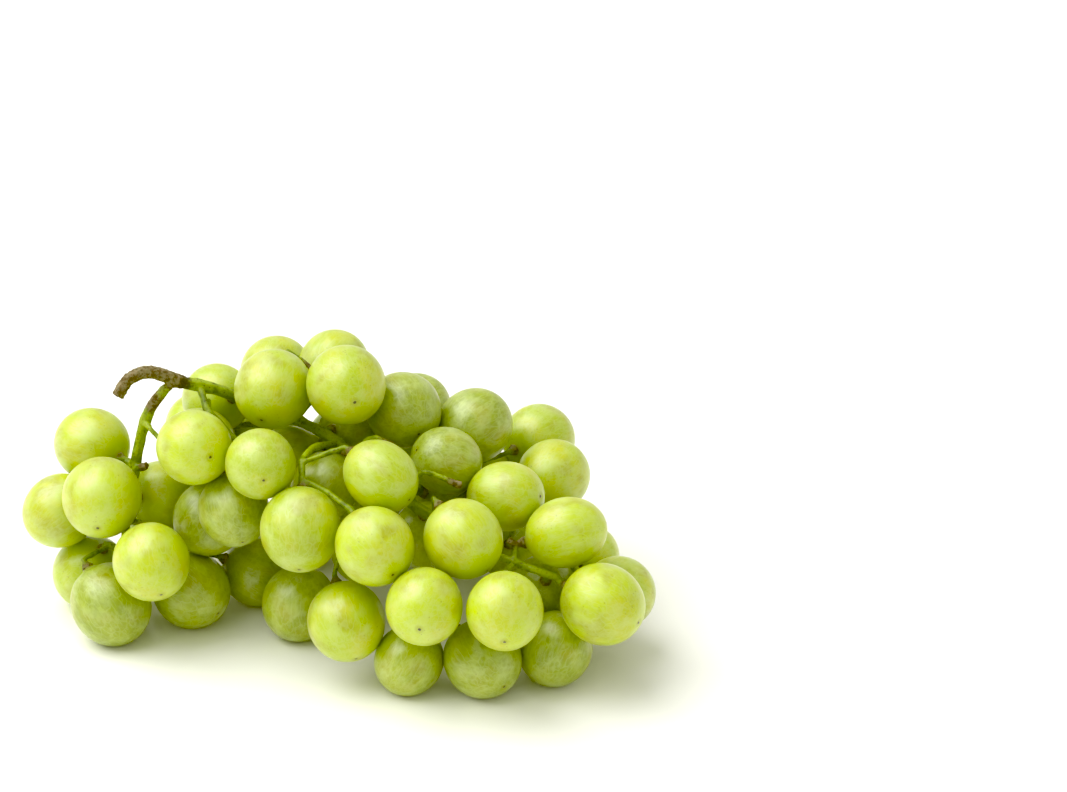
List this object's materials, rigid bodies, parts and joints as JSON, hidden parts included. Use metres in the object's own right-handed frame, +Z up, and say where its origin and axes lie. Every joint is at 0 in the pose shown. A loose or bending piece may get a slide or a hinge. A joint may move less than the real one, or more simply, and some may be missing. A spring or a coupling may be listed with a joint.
{
  "type": "bunch of grapes",
  "caption": "Bunch of seeded white table grapes lying on its side: oval green berries on pedicels of one branching stem with a cut, hooked end and a wing.",
  "frame": {"origin": "on the table, under the middle of the bunch's box", "axes": "+X along the bunch from the cut end of the stem to the tip, +Y to the back of the bunch, +Z up"},
  "size_m": [0.189, 0.1262, 0.0876],
  "materials": {
    "berry_skin": "taut translucent yellow-green skin with a thin bloom, half glossy",
    "stem": "green twig, brown and woody at its cut end and joints"
  },
  "bodies": {
    "root": {"stem": "stem", "wing_berry_1": "berry_skin", "wing_berry_2": "berry_skin", "wing_berry_3": "berry_skin", "wing_berry_4": "berry_skin", "wing_berry_5": "berry_skin", "wing_berry_6": "berry_skin", "wing_berry_7": "berry_skin", "wing_berry_8": "berry_skin", "wing_berry_9": "berry_skin", "shoulder_berry_1": "berry_skin", "shoulder_berry_2": "berry_skin", "shoulder_berry_3": "berry_skin", "shoulder_berry_4": "berry_skin", "shoulder_berry_5": "berry_skin", "shoulder_berry_6": "berry_skin", "shoulder_berry_7": "berry_skin", "shoulder_berry_8": "berry_skin", "shoulder_berry_9": "berry_skin", "crest_berry_1": "berry_skin", "crest_berry_2": "berry_skin", "crest_berry_3": "berry_skin", "crest_berry_4": "berry_skin", "crest_berry_5": "berry_skin", "crest_berry_6": "berry_skin", "crest_berry_7": "berry_skin", "crest_berry_8": "berry_skin", "crest_berry_9": "berry_skin", "crest_berry_10": "berry_skin", "crest_berry_11": "berry_skin", "crest_berry_12": "berry_skin", "front_berry_1": "berry_skin", "front_berry_2": "berry_skin", "front_berry_3": "berry_skin", "front_berry_4": "berry_skin", "front_berry_5": "berry_skin", "front_berry_6": "berry_skin", "front_berry_7": "berry_skin", "front_berry_8": "berry_skin", "front_berry_9": "berry_skin", "front_berry_10": "berry_skin", "tip_berry_1": "berry_skin", "tip_berry_2": "berry_skin", "tip_berry_3": "berry_skin", "tip_berry_4": "berry_skin", "tip_berry_5": "berry_skin", "tip_berry_6": "berry_skin", "tip_berry_7": "berry_skin", "tip_berry_8": "berry_skin", "tip_berry_9": "berry_skin", "tip_berry_10": "berry_skin", "tip_berry_11": "berry_skin", "back_berry_1": "berry_skin", "back_berry_2": "berry_skin", "back_berry_3": "berry_skin", "back_berry_4": "berry_skin", "back_berry_5": "berry_skin", "back_berry_6": "berry_skin", "back_berry_7": "berry_skin", "back_berry_8": "berry_skin"}
  },
  "joints": []
}
